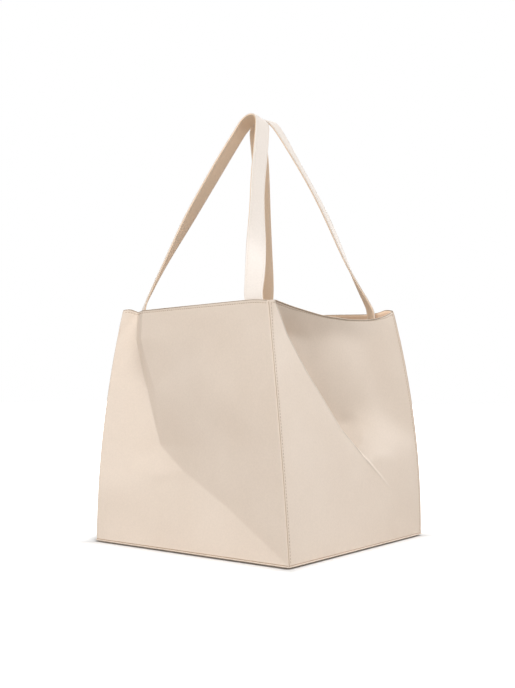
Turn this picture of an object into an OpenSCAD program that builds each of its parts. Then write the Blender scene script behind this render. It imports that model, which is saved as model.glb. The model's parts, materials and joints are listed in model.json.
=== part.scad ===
/* [Body] */
// Width of the base, left to right
base_w = 317; // [290:1:350]
// Depth of the base, front to back
base_d = 311; // [290:1:350]
// Height of the rim at the four corner seams
body_h = 310; // [280:1:350]
// How far each corner is drawn in at the rim
draw_in = 26; // [16:1:32]
// Turn of the rim against the base, in degrees
rim_twist = 4.5; // [2:0.5:6]
// Lean of the rim to the left
lean_left = 3.2; // [0:0.2:6]
// Lean of the rim to the front
lean_front = 2.4; // [0:0.2:6]

/* [Folds] */
// Depth of the dimple in the front and back walls
dimple_depth = 28; // [18:1:34]
// Depth of the pleat at the rim beside each folded corner
pleat_depth = 14.5; // [10:0.5:18]
// How far the rim stands proud beside the pleat
pleat_swell = 5; // [2:0.5:7]
// Depth of the long diagonal fold in the side walls
side_fold_depth = 32; // [24:1:36]
// How far the middle of a side rim bows in
side_rim_bow = 2; // [1:0.5:6]
// How far the middle of a side rim hangs below the corners
side_rim_sag = 16; // [8:1:20]
// How far the front and back rims rise beside their corners
rim_peak = 2.5; // [0:0.5:4]
// How far the rim dips at the pleat
pleat_dip = 2.5; // [0:0.5:4]
// How far the ridge of a fold lies inside the flat wall
ridge_in = 1.5; // [0.5:0.1:2.5]
// How far the leather between the folds lies inside the flat wall
rest_in = 1; // [0.5:0.1:2]

/* [Leather and lining] */
// Thickness of the outer leather
wall_t = 2; // [1.6:0.1:2.4]
// Thickness of the leather facing inside the rim
facing_t = 1.2; // [0.8:0.1:1.6]
// Height of the facing
facing_h = 40; // [36:1:46]
// Thickness of the lining
lining_t = 0.8; // [0.6:0.1:1.2]
// Glue gap between neighbouring layers
glue_gap = 0.1; // [0.1:0.05:0.2]

/* [Base] */
// Thickness of the leather sole
sole_t = 2.2; // [1.8:0.1:3]
// Thickness of the welt between the sole and the walls
welt_t = 1.3; // [1:0.1:2]
// Width of the welt
welt_w = 9; // [7:0.5:12]
// How far the sole and welt stand out past the walls
welt_out = 1.6; // [1:0.1:2.5]
// Thickness of the stiffening board
board_t = 2.5; // [2:0.1:4]
// Clearance between the board and the walls
board_clear = 1.4; // [1.2:0.1:2.5]

/* [Handles] */
// Width of a strap
strap_w = 25; // [20:0.5:28]
// Thickness of each of the two strap layers
strap_ply = 1.5; // [1.2:0.1:1.8]
// Distance from a corner seam to the middle of a strap root
root_inset = 25; // [22:1:32]
// Height of the bending line above the rim corners
bend_rise = 6; // [5:0.5:9]
// Distance from the bending line to the top of the loop
handle_reach = 279; // [250:1:310]
// Gap between the tops of the two raised handles
handle_gap = 0.8; // [0.5:0.1:3]
// Place of the top of a loop, to the right of the middle of its roots
apex_shift = -2; // [-12:1:12]
// How far the left leg of a loop bows out
left_leg_bow = 6; // [0:1:10]
// Radius of the loop where it turns over at the top
apex_r = 19; // [15:1:24]
// Length of a strap end sewn inside the rim
end_len = 26; // [22:1:30]
// Width of the patch over a strap end
patch_w = 30; // [28:1:34]
// Height of the patch over a strap end
patch_h = 20; // [16:1:22]
// Thickness of the patch over a strap end
patch_t = 1.2; // [1:0.1:1.6]
// How far the patch reaches below a strap end
patch_margin = 2; // [1:0.5:4]
// Clearance between a strap end and the facing that it is sewn to
end_clear = 0.6; // [0.4:0.1:1]
// How much lower the strap end at the pleat is cut on its outer side
pleat_cut = 5; // [4:0.5:6]
// Running gap at the bending line
bend_clear = 0.3; // [0.2:0.05:0.5]
// Height over which a strap turns away from the bending line
slant_h = 25; // [20:1:35]
// Height over which a strap's left leg turns square to its loop
twist_h = 200; // [170:5:240]

/* [Hidden] */

leather = [0.90, 0.83, 0.76];
leather_inner = [0.84, 0.72, 0.60];
lining_cream = [0.86, 0.78, 0.68];
board_grey = [0.55, 0.52, 0.48];

wall_foot = sole_t + welt_t + glue_gap;
facing_v = 1 - facing_h / body_h;
rim_centre = [-lean_left, -lean_front];

// One wall is [left corner signs, right corner signs, direction into the bag].
FRONT = [[-1, -1], [1, -1], [0, 1]];
RIGHT = [[1, -1], [1, 1], [-1, 0]];
BACK = [[1, 1], [-1, 1], [0, -1]];
LEFT = [[-1, 1], [-1, -1], [1, 0]];

// A point of a wall's fold plan is [share of width, share of height, depth into the bag, lift].
// The corner seams of all walls carry points at the same heights.
seam_v = [0, 0.22, 0.43, 0.64, facing_v, 1];
function seam_points() = concat([for (v = seam_v) [0, v, 0, 0]], [for (v = seam_v) [1, v, 0, 0]]);

// The pleat's valley and ridge at the rim and at the foot of the facing.
valley_top = [0.062, 1, pleat_depth, -pleat_dip];
ridge_top = [0.171, 1, -pleat_swell, -pleat_dip];
valley_low = [0.085, facing_v, pleat_depth + ridge_in, 0];
ridge_low = [0.172, facing_v, rest_in, 0];

// Front and back: a pleat at the rim runs down to a dimple, and a fold runs from it to the far foot.
dimple_plan = concat(seam_points(), [
    [0.032, 1, 0.4 * pleat_depth, 0.8 * rim_peak],
    valley_top,
    ridge_top,
    [0.56, 1, 0, 0.2 * rim_peak],
    [0.93, 1, 0, rim_peak],
    valley_low,
    ridge_low,
    [0.56, facing_v, rest_in, 0],
    [0.191, 0.652, 0.75 * dimple_depth, 0],
    [0.255, 0.652, 0.52 * dimple_depth, 0],
    [0.60, 0.64, 0.2 * dimple_depth, 0],
    [0.28, 0.41, dimple_depth, 0],
    [0.437, 0.315, 0.72 * dimple_depth, 0],
    [0.688, 0.192, 0.4 * dimple_depth, 0],
    [0.943, 0.06, 0.07 * dimple_depth, 0],
    [0.60, 0.43, 0.36 * dimple_depth, 0],
    [0.5, 0, 0, 0]
]);
dimple_top = [
    [4, 17, 13], [4, 13, 12], [4, 12, 5], [17, 18, 14], [17, 14, 13],
    [18, 19, 15], [18, 15, 14], [19, 10, 16], [19, 16, 15], [10, 11, 16]
];
dimple_low = [
    [3, 20, 17], [3, 17, 4], [2, 23, 20], [2, 20, 3], [1, 23, 2],
    [0, 24, 1], [1, 24, 23], [0, 28, 24], [28, 25, 24], [28, 6, 25],
    [6, 26, 25], [6, 7, 26], [26, 7, 25], [25, 7, 27], [7, 8, 27],
    [24, 25, 27], [23, 24, 27], [20, 23, 21], [23, 27, 21], [27, 22, 21],
    [27, 8, 22], [8, 9, 22], [20, 21, 18], [20, 18, 17], [21, 22, 19],
    [21, 19, 18], [22, 9, 10], [22, 10, 19]
];

// Sides: one fold runs from the rim beside the left seam to the opposite foot, and the leather
// below it rolls into it.
diagonal_plan = concat(seam_points(), [
    [0.04, 1, -0.4 * pleat_swell, 0.4 * rim_peak],
    [0.184, 1, 0.45 * side_rim_bow, -0.33 * side_rim_sag],
    [0.41, 1, 0.86 * side_rim_bow, -0.84 * side_rim_sag],
    [0.62, 1, side_rim_bow, -side_rim_sag],
    [0.80, 1, 0.87 * side_rim_bow, -0.9 * side_rim_sag],
    [0.913, 1, 0.28 * side_rim_bow, -0.57 * side_rim_sag],
    [0.118, facing_v, ridge_in, 0],
    [0.22, facing_v, 0.84 * side_fold_depth, 0],
    [0.49, facing_v, 0.44 * side_fold_depth, 0],
    [0.765, facing_v, 0.22 * side_fold_depth, 0],
    [0.219, 0.728, ridge_in, 0],
    [0.348, 0.722, side_fold_depth, 0],
    [0.413, 0.5, ridge_in, 0],
    [0.505, 0.487, 0.75 * side_fold_depth, 0],
    [0.583, 0.354, rest_in, 0],
    [0.556, 0.404, 0.31 * side_fold_depth, 0],
    [0.605, 0.35, 0.1 * side_fold_depth, 0],
    [0.779, 0.201, 0, 0],
    [0.76, 0.57, 0.28 * side_fold_depth, 0],
    [0.5, 0, 0, 0]
]);
diagonal_top = [
    [4, 12, 5], [4, 18, 12], [18, 19, 12], [19, 13, 12], [19, 20, 13], [20, 14, 13],
    [20, 21, 15], [20, 15, 14], [21, 16, 15], [21, 10, 17], [21, 17, 16], [10, 11, 17]
];
diagonal_low = [
    [3, 22, 18], [3, 18, 4], [3, 24, 22], [2, 24, 3], [2, 26, 24], [1, 26, 2],
    [1, 31, 26], [0, 31, 1], [31, 29, 26], [31, 6, 29], [6, 7, 29],
    [18, 22, 19], [22, 23, 19], [22, 24, 23], [24, 25, 23], [24, 26, 27], [24, 27, 25],
    [26, 28, 27], [26, 29, 28], [19, 23, 20], [23, 25, 20], [25, 30, 20], [30, 21, 20],
    [25, 27, 30], [30, 9, 21], [9, 10, 21], [30, 8, 9], [27, 28, 30], [28, 8, 30],
    [28, 29, 8], [29, 7, 8]
];

// Corner seam at height z. The rim is drawn in, turned and leant, and the foot is square.
function corner(signs, z, inset) =
    let (t = z / body_h,
         s = 1 - 2 * draw_in / base_w * t * t,
         a = rim_twist * t,
         x = signs[0] * base_w / 2,
         y = signs[1] * base_d / 2)
    [s * (x * cos(a) + y * sin(a)) - lean_left * t * t - signs[0] * inset,
     s * (y * cos(a) - x * sin(a)) - lean_front * t * t - signs[1] * inset];

// Point of a wall at a share of its width and height, a layer's depth inside its outer face.
function wall_point(wall, u, v, fold, lift, inset) =
    let (z = wall_foot + v * (body_h - wall_foot),
         p = corner(wall[0], z, inset) * (1 - u) + corner(wall[1], z, inset) * u + wall[2] * fold)
    [p[0], p[1], z + lift];

function has_edge(faces, a, b) =
    len([for (f = faces) if ((f[0] == a && f[1] == b) || (f[1] == a && f[2] == b)
        || (f[2] == a && f[0] == b)) 1]) > 0;
function border(faces) =
    [for (f = faces, i = [0:2]) let (a = f[i], b = f[(i + 1) % 3]) if (!has_edge(faces, b, a)) [a, b]];

// A folded sheet between two depths inside a wall, over some of the plan's triangles.
// Its seam ends stop short of the mitre by half the glue gap.
module sheet(wall, plan, faces, outer, inner) {
    n = len(plan);
    seam_gap = glue_gap / 2 / base_w;
    used = [for (i = [0:n - 1])
        if (len([for (f = faces) if (f[0] == i || f[1] == i || f[2] == i) 1]) > 0) i];
    slot_of = [for (i = [0:n - 1]) len([for (j = used) if (j < i) 1])];
    m = len(used);
    function at(p, inset) =
        wall_point(wall, min(max(p[0], seam_gap), 1 - seam_gap), p[1], p[2], p[3], inset);
    points = concat([for (i = used) at(plan[i], outer)], [for (i = used) at(plan[i], inner)]);
    skin = [for (f = faces) [slot_of[f[2]], slot_of[f[1]], slot_of[f[0]]]];
    back = [for (f = faces) [m + slot_of[f[0]], m + slot_of[f[1]], m + slot_of[f[2]]]];
    rim = [for (e = border(faces)) let (a = slot_of[e[0]], b = slot_of[e[1]])
        each [[a, b, b + m], [a, b + m, a + m]]];
    polyhedron(points = points, faces = concat(skin, back, rim));
}

module outer_wall(wall, plan, top, low) {
    color(leather) sheet(wall, plan, concat(top, low), 0, wall_t);
}

module rim_facing(wall, plan, top) {
    color(leather_inner) sheet(wall, plan, top, wall_t + glue_gap, wall_t + glue_gap + facing_t);
}

module wall_lining(wall, plan, low) {
    color(lining_cream) sheet(wall, plan, low, wall_t + glue_gap, wall_t + glue_gap + lining_t);
}

module front_wall() outer_wall(FRONT, dimple_plan, dimple_top, dimple_low);
module back_wall() outer_wall(BACK, dimple_plan, dimple_top, dimple_low);
module right_wall() outer_wall(RIGHT, diagonal_plan, diagonal_top, diagonal_low);
module left_wall() outer_wall(LEFT, diagonal_plan, diagonal_top, diagonal_low);

module front_facing() rim_facing(FRONT, dimple_plan, dimple_top);
module back_facing() rim_facing(BACK, dimple_plan, dimple_top);
module right_facing() rim_facing(RIGHT, diagonal_plan, diagonal_top);
module left_facing() rim_facing(LEFT, diagonal_plan, diagonal_top);

module front_lining() wall_lining(FRONT, dimple_plan, dimple_low);
module back_lining() wall_lining(BACK, dimple_plan, dimple_low);
module right_lining() wall_lining(RIGHT, diagonal_plan, diagonal_low);
module left_lining() wall_lining(LEFT, diagonal_plan, diagonal_low);

module plate(w, d, t) translate([-w / 2, -d / 2, 0]) cube([w, d, t]);

sole_w = base_w + 2 * welt_out;
sole_d = base_d + 2 * welt_out;
module sole() color(leather) plate(sole_w, sole_d, sole_t);

module welt() color(leather) translate([0, 0, sole_t]) difference() {
    plate(sole_w, sole_d, welt_t);
    translate([0, 0, -welt_t]) plate(sole_w - 2 * welt_w, sole_d - 2 * welt_w, 3 * welt_t);
}

board_inset = wall_t + glue_gap + lining_t + board_clear;
module base_board() color(board_grey) translate([0, 0, wall_foot])
    plate(base_w - 2 * board_inset, base_d - 2 * board_inset, board_t);

module base_lining() color(lining_cream) translate([0, 0, wall_foot + board_t])
    plate(base_w - 2 * board_inset, base_d - 2 * board_inset, lining_t);

// Strap ends sewn inside the front rim. The left one follows the pleat and the right one the wall.
end_depth = wall_t + 2 * glue_gap + facing_t;
end_low_v = 1 - end_len / (body_h - wall_foot);
bend_z = body_h + bend_rise;
strap_t = 2 * strap_ply;
end_lift = bend_rise - strap_ply - bend_clear;
rim_left = corner(FRONT[0], body_h, 0);
rim_right = corner(FRONT[1], body_h, 0);
rim_len = norm(rim_right - rim_left);

// A place on the pleat's band, at a share of the band's width from its valley and a height share.
function mix(a, b, s) = a * (1 - s) + b * s;
function on_pleat(s, v) =
    let (t = (v - facing_v) / (1 - facing_v),
         valley = mix(valley_low, valley_top, t),
         ridge = mix(ridge_low, ridge_top, t))
    mix(valley, ridge, s);
pleat_len = norm([(ridge_top[0] - valley_top[0]) * rim_len, ridge_top[2] - valley_top[2]]);

// Plan points of a strip of one width between two heights, at the left and at the right root.
function pleat_strip(w, v_low, v_high) =
    let (h = w / 2 / pleat_len)
    [for (v = [v_low, v_high], side = [-1, 1]) on_pleat(0.5 + side * h, v) + [0, 0, end_clear, 0]];
function wall_strip(w, v_low, v_high) =
    let (mid = 1 - root_inset / rim_len, h = w / 2 / rim_len)
    [for (v = [v_low, v_high], side = [-1, 1]) [mid + side * h, v, end_clear, 0]];
strip_faces = [[0, 1, 3], [0, 3, 2]];

// The same strip with its upper edge carried on above the rim, to a lift at each side.
function raised(strip, lifts) =
    concat(strip, [for (i = [0, 1]) let (p = strip[2 + i]) [p[0], 1, p[2], lifts[i]]]);
raised_faces = concat(strip_faces, [[2, 3, 5], [2, 5, 4]]);

// Places the front handle's pieces behind as they are, half a turn about the middle of the rim.
module at_back() {
    translate(rim_centre) rotate(180) translate(-rim_centre) children();
}

left_strip = pleat_strip(strap_w, end_low_v, 1);
right_strip = wall_strip(strap_w, end_low_v, 1);
ends = [raised(left_strip, [end_lift, end_lift - pleat_cut]), raised(right_strip, [end_lift, end_lift])];
module strap_ends() color(leather_inner)
    for (strip = ends) sheet(FRONT, strip, raised_faces, end_depth, end_depth + strap_t);

patch_depth = end_depth + strap_t + glue_gap;
patch_low_v = end_low_v - patch_margin / body_h;
patch_high_v = patch_low_v + patch_h / body_h;
left_patch = pleat_strip(patch_w, patch_low_v, patch_high_v);
right_patch = wall_strip(patch_w, patch_low_v, patch_high_v);
module end_patches() color(leather_inner)
    for (strip = [left_patch, right_patch])
        sheet(FRONT, strip, strip_faces, patch_depth, patch_depth + patch_t);

module front_strap_ends() strap_ends();
module back_strap_ends() at_back() strap_ends();
module front_end_patches() end_patches();
module back_end_patches() at_back() end_patches();

// The bending line runs over the middles of both strap ends.
function root_of(strip) =
    let (mid = (strip[2] + strip[3]) / 2,
         p = wall_point(FRONT, mid[0], 1, mid[2], 0, end_depth + strap_ply))
    [p[0], p[1]];
left_root = root_of(left_strip);
right_root = root_of(right_strip);
bend_run = right_root - left_root;
bend_mid = (left_root + right_root) / 2;
bend_angle = atan2(bend_run[1], bend_run[0]);
half_span = norm(bend_run) / 2;

// The raised handles lean in until their tops all but touch over the middle of the bag.
top_offset = (rim_centre - bend_mid) * [-sin(bend_angle), cos(bend_angle)] - handle_gap / 2;
handle_lean = asin(top_offset / norm([handle_reach, strap_w / 2])) - atan2(strap_w / 2, handle_reach);
echo(left_root = left_root, right_root = right_root, bend_z = bend_z, lean = handle_lean);

// A handle lies in its own plane: x along the bending line and y up the loop. The middle of the
// strap runs up one leg, round an arc at the top and down the other leg, which bows a little.
leg_steps = 11;
arc_steps = 8;
arc_centre = [apex_shift, handle_reach - apex_r];
function leg_touch(side) =
    let (d = arc_centre - [side * half_span, 0])
    atan2(d[1], d[0]) - side * (180 - acos(apex_r / norm(d)));
function on_arc(a) = arc_centre + apex_r * [cos(a), sin(a)];

// How far the strap has turned out of the plane of the loop, in degrees, at shares of the twist's
// height up each leg: flat at the bending line and square to the plane at the top.
right_turns = [[0, 0], [0.08, 20], [0.2, 42], [0.4, 62], [0.65, 77], [1, 84], [1.35, 90]];
left_turns = [[0, 0], [0.08, 30], [0.2, 46], [0.35, 56], [0.5, 73], [0.715, 84], [1, 90]];
function turn_at(side, y) = lookup(y / twist_h, side > 0 ? right_turns : left_turns);

// Stations along the strap: [x, y, direction away from the loop, turn, stretch of the width].
// At the bending line the section lies along the line, so the strap's end is cut at a slant there.
function leg_stations(side) =
    let (away = leg_touch(side), top = on_arc(away), level = side > 0 ? 0 : 180)
    [for (i = [0:leg_steps]) let (s = pow(i / leg_steps, 1.4),
        p = mix([side * half_span, 0], top, s)
            + (side > 0 ? 0 : left_leg_bow * sin(180 * s)) * [cos(away), sin(away)],
        eased = mix(level, away, min(p[1] / slant_h, 1)))
        [p[0], p[1], eased, turn_at(side, p[1]), 1 / cos(away - eased)]];
arc_stations = [for (i = [1:arc_steps - 1])
    let (a = mix(leg_touch(1), leg_touch(-1), i / arc_steps), p = on_arc(a))
    [p[0], p[1], a, mix(turn_at(1, p[1]), turn_at(-1, p[1]), i / arc_steps), 1]];
function reversed(list) = [for (i = [len(list) - 1:-1:0]) list[i]];
stations = concat(leg_stations(1), arc_stations, reversed(leg_stations(-1)));

// Corner of the strap's section: w is across the strap and d is through it, outward.
function strap_corner(st, w, d) =
    let (across = [cos(st[2]) * cos(st[3]), sin(st[2]) * cos(st[3]), -sin(st[3])],
         through = [cos(st[2]) * sin(st[3]), sin(st[2]) * sin(st[3]), cos(st[3])])
    [st[0], st[1], 0] + w * st[4] * across + d * through;

// The strap's root is rounded about the bending line, in steps below the first and last stations.
round_steps = 4;
round_angle = 80;
function rounded_root(st, inside, outside) =
    [for (i = [round_steps:-1:1]) let (a = round_angle * i / round_steps)
        [st - [0, strap_ply * sin(a), 0, 0, 0], inside * cos(a), outside * cos(a)]];

// One layer of the strap between two depths from its middle. Both layers split their faces the
// same way, so that they nest where the strap twists.
module strap_layer(inside, outside) {
    n = len(stations);
    rings = concat(rounded_root(stations[0], inside, outside),
        [for (st = stations) [st, inside, outside]],
        reversed(rounded_root(stations[n - 1], inside, outside)));
    last = 4 * (len(rings) - 1);
    points = [for (r = rings, c = [[-1, 1], [1, 1], [1, 2], [-1, 2]])
        strap_corner(r[0], c[0] * strap_w / 2, r[c[1]])];
    sides = [for (i = [0:4:last - 4], j = [0:3]) let (a = i + j, b = i + (j + 1) % 4)
        each j == 2 ? [[a, b, a + 4], [b, b + 4, a + 4]] : [[a, b, b + 4], [a, b + 4, a + 4]]];
    ends = [[0, 3, 2], [0, 2, 1], [last, last + 1, last + 2], [last, last + 2, last + 3]];
    polyhedron(points = points, faces = concat(sides, ends));
}

// Stands the loop's plane on the bending line, leaning into the bag.
module in_handle_plane() {
    translate([bend_mid[0], bend_mid[1], bend_z]) rotate(bend_angle) rotate([90 - handle_lean, 0, 0])
        children();
}

ply_gap = glue_gap / 4;
module handle_outer() color(leather) in_handle_plane() strap_layer(ply_gap, strap_ply);
module handle_inner() color(leather_inner) in_handle_plane() strap_layer(-strap_ply, -ply_gap);
module front_handle_outer() handle_outer();
module front_handle_inner() handle_inner();
module back_handle_outer() at_back() handle_outer();
module back_handle_inner() at_back() handle_inner();

front_wall();
back_wall();
left_wall();
right_wall();
front_facing();
back_facing();
left_facing();
right_facing();
front_lining();
back_lining();
left_lining();
right_lining();
sole();
welt();
base_board();
base_lining();
front_handle_outer();
front_handle_inner();
back_handle_outer();
back_handle_inner();
front_strap_ends();
back_strap_ends();
front_end_patches();
back_end_patches();
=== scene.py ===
"""Looks of the trapeze bag: a folded leather shell with a lined inside and two raised straps."""

import json
import math

import bpy
import numpy as np
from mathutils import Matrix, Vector


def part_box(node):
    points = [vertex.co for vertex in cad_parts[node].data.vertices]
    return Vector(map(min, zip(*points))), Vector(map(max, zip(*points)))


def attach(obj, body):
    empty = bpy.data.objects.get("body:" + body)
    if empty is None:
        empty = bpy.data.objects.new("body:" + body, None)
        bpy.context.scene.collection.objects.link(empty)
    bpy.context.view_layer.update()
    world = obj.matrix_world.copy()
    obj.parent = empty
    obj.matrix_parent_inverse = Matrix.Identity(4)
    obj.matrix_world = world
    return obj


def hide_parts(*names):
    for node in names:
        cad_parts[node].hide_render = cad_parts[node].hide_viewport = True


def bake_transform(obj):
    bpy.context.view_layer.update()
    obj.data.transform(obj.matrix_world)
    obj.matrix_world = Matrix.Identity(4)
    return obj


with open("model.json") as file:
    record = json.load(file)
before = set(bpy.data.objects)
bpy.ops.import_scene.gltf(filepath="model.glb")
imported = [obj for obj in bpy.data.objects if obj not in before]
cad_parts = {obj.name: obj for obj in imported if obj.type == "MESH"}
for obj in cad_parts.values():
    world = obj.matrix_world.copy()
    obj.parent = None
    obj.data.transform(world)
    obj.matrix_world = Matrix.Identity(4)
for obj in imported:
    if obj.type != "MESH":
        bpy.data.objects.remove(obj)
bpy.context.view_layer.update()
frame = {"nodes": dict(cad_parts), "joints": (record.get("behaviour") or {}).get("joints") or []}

# Sizes in millimetres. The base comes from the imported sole.
MM = 0.001
WELT_OUT = 1.6
sole_low, sole_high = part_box("sole")
BASE_W = (sole_high.x - sole_low.x) / MM - 2 * WELT_OUT
BASE_D = (sole_high.y - sole_low.y) / MM - 2 * WELT_OUT
SOLE_T = (sole_high.z - sole_low.z) / MM
WELT_T = 1.3
GLUE_GAP = 0.1
WALL_FOOT = SOLE_T + WELT_T + GLUE_GAP
BODY_H = 310.0
DRAW_IN = 26.0
RIM_TWIST = 4.5
LEAN_LEFT = 3.2
LEAN_FRONT = 2.4
RIM_CENTRE = np.array([-LEAN_LEFT, -LEAN_FRONT, 0.0])

# Depths of the folds, and the bow and sag of a side rim.
DIMPLE = 28.0
PLEAT = 14.5
PLEAT_SWELL = 5.0
SIDE_FOLD = 32.0
RIM_BOW = 2.0
RIM_SAG = 16.0

# Layers of the shell and the base.
WALL_T = 2.0
FACING_T = 1.2
FACING_H = 40.0
LINING_T = 0.8
BOARD_T = 2.5

# Straps, their sewn ends and the patches over them.
STRAP_W = 25.0
STRAP_PLY = 1.5
ROOT_INSET = 25.0
HANDLE_REACH = 279.0
APEX_SHIFT = -2.0
APEX_R = 19.0
LEG_BOW = 6.0
END_LEN = 26.0
END_CLEAR = 0.6
PATCH_W = 30.0
PATCH_H = 20.0
PATCH_T = 1.2
PATCH_MARGIN = 2.0
PATCH_R = 3.0
PATCH_STITCH_IN = 2.2

# Share of the wall's height at the facing's lower edge, the depths of a sewn strap end and of the
# facing's inner side below the wall's outer face, and the thickness that the outer leather is drawn with.
FACING_V = 1 - FACING_H / BODY_H
END_DEPTH = WALL_T + 2 * GLUE_GAP + FACING_T + END_CLEAR
FACING_DEPTH = WALL_T + GLUE_GAP + FACING_T
SHELL_T = WALL_T - 0.05

# Thread and edge details.
STITCH_PITCH = 3.8
STITCH_LEN = 2.7
STITCH_R = 0.32
SEAM_STITCH_IN = 4.2
RIM_STITCH_DOWN = 4.0
FACING_STITCH_UP = 3.0
GROOVE = 0.28
GROOVE_W = 0.7
CORNER_R = 2.0
RIM_R = 1.6
EDGE_R = 0.85
SEAM_EDGE_IN = 0.75
SEAM_EDGE_R = 0.42
FOOT_EDGE_R = 0.4
RIM_EDGE_OVER = 0.12

# What half a turn seen from above does to x, y and z.
HALF_TURN = np.array([-1.0, -1.0, 1.0])

# One wall is (left corner signs, right corner signs, direction into the bag), seen from outside.
WALLS = {
    "front": ((-1, -1), (1, -1), (0, 1)),
    "right": ((1, -1), (1, 1), (-1, 0)),
    "back": ((1, 1), (-1, 1), (0, -1)),
    "left": ((-1, 1), (-1, -1), (1, 0)),
}

# The side panel that laps over the left corner seam of the front and back walls.
SEAM_OWNER = {"front": "left", "back": "right"}


# Fold plans

SEAM_V = [0, 0.22, 0.43, 0.64, FACING_V, 1]
SEAM_POINTS = [(0, v, 0, 0) for v in SEAM_V] + [(1, v, 0, 0) for v in SEAM_V]

# The pleat beside a folded corner runs from a valley to a ridge. Each is (share of the wall's width at
# the facing's lower edge, share at the rim).
VALLEY_U = (0.085, 0.062)
RIDGE_U = (0.172, 0.171)

# Points are (share of width, share of height, depth into the bag, lift).
DIMPLE_PLAN = SEAM_POINTS + [
    (0.032, 1, 0.4 * PLEAT, 2),
    (VALLEY_U[1], 1, PLEAT, -2.5),
    (RIDGE_U[1], 1, -PLEAT_SWELL, -2.5),
    (0.56, 1, 0, 0.5),
    (0.93, 1, 0, 2.5),
    (VALLEY_U[0], FACING_V, PLEAT + 1.5, 0),
    (RIDGE_U[0], FACING_V, 1, 0),
    (0.56, FACING_V, 1, 0),
    (0.191, 0.652, 0.75 * DIMPLE, 0),
    (0.25, 0.652, 0.58 * DIMPLE, 0),
    (0.58, 0.66, 0.12 * DIMPLE, 0),
    (0.28, 0.41, DIMPLE, 0),
    (0.437, 0.315, 0.72 * DIMPLE, 0),
    (0.688, 0.192, 0.4 * DIMPLE, 0),
    (0.943, 0.06, 0.07 * DIMPLE, 0),
    (0.60, 0.43, 0.44 * DIMPLE, 0),
    (0.5, 0, 0, 0),
]
DIMPLE_FACES = [
    (4, 17, 13), (4, 13, 12), (4, 12, 5), (17, 18, 14), (17, 14, 13),
    (18, 19, 15), (18, 15, 14), (19, 10, 16), (19, 16, 15), (10, 11, 16),
    (3, 20, 17), (3, 17, 4), (2, 23, 20), (2, 20, 3), (1, 23, 2),
    (0, 24, 1), (1, 24, 23), (0, 28, 24), (28, 25, 24), (28, 6, 25),
    (6, 26, 25), (6, 7, 26), (26, 7, 25), (25, 7, 27), (7, 8, 27),
    (24, 25, 27), (23, 24, 27), (20, 23, 21), (23, 27, 21), (27, 22, 21),
    (27, 8, 22), (8, 9, 22), (20, 21, 18), (20, 18, 17), (21, 22, 19),
    (21, 19, 18), (22, 9, 10), (22, 10, 19),
]
# Creases are chains of plan points.
DIMPLE_CREASES = [[13, 17, 20, 23], [14, 18, 21, 23], [23, 24, 25, 26, 6]]

DIAGONAL_PLAN = SEAM_POINTS + [
    (0.04, 1, -2, 1),
    (0.184, 1, 0.45 * RIM_BOW, -0.33 * RIM_SAG),
    (0.41, 1, 0.86 * RIM_BOW, -0.84 * RIM_SAG),
    (0.62, 1, RIM_BOW, -RIM_SAG),
    (0.80, 1, 0.87 * RIM_BOW, -0.9 * RIM_SAG),
    (0.913, 1, 0.28 * RIM_BOW, -0.57 * RIM_SAG),
    (0.118, FACING_V, 1.5, 0),
    (0.185, FACING_V, 0.8 * SIDE_FOLD, 0),
    (0.49, FACING_V, 0.55 * SIDE_FOLD, 0),
    (0.765, FACING_V, 0.34 * SIDE_FOLD, 0),
    (0.219, 0.728, 1.5, 0),
    (0.315, 0.72, 1.1 * SIDE_FOLD, 0),
    (0.413, 0.5, 1.5, 0),
    (0.478, 0.487, 0.95 * SIDE_FOLD, 0),
    (0.583, 0.354, 1, 0),
    (0.555, 0.402, 0.24 * SIDE_FOLD, 0),
    (0.606, 0.35, 0.07 * SIDE_FOLD, 0),
    (0.779, 0.201, 0, 0),
    (0.76, 0.57, 0.43 * SIDE_FOLD, 0),
    (0.5, 0, 0, 0),
]
DIAGONAL_FACES = [
    (4, 12, 5), (4, 18, 12), (18, 19, 12), (19, 13, 12), (19, 20, 13), (20, 14, 13),
    (20, 21, 15), (20, 15, 14), (21, 16, 15), (21, 10, 17), (21, 17, 16), (10, 11, 17),
    (3, 22, 18), (3, 18, 4), (3, 24, 22), (2, 24, 3), (2, 26, 24), (1, 26, 2),
    (1, 31, 26), (0, 31, 1), (31, 29, 26), (31, 6, 29), (6, 7, 29),
    (18, 22, 19), (22, 23, 19), (22, 24, 23), (24, 25, 23), (24, 26, 27), (24, 27, 25),
    (26, 28, 27), (26, 29, 28), (19, 23, 20), (23, 25, 20), (25, 30, 20), (30, 21, 20),
    (25, 27, 30), (30, 9, 21), (9, 10, 21), (30, 8, 9), (27, 28, 30), (28, 8, 30),
    (28, 29, 8), (29, 7, 8),
]
DIAGONAL_CREASES = [[12, 18, 22, 24, 26, 29], [19, 23, 25, 27, 28]]

# Cells of the fold fields along each side of a wall, and the usual width of a wall between seams.
GRID_N = 260
FIELD_W = 300.0


def fill_field(plan, faces):
    """Depth and lift at each grid point, straight across each triangle of the plan."""
    axis = np.linspace(0, 1, GRID_N + 1)
    u, v = np.meshgrid(axis, axis)
    out = np.zeros(u.shape + (2,))
    for face in faces:
        a, b, c = (np.array(plan[i], float) for i in face)
        det = (b[0] - a[0]) * (c[1] - a[1]) - (c[0] - a[0]) * (b[1] - a[1])
        s = ((u - a[0]) * (c[1] - a[1]) - (c[0] - a[0]) * (v - a[1])) / det
        t = ((b[0] - a[0]) * (v - a[1]) - (u - a[0]) * (b[1] - a[1])) / det
        inside = (s > -1e-6) & (t > -1e-6) & (s + t < 1 + 1e-6)
        value = a[2:] + s[..., None] * (b[2:] - a[2:]) + t[..., None] * (c[2:] - a[2:])
        out[inside] = value[inside]
    return out


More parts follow.
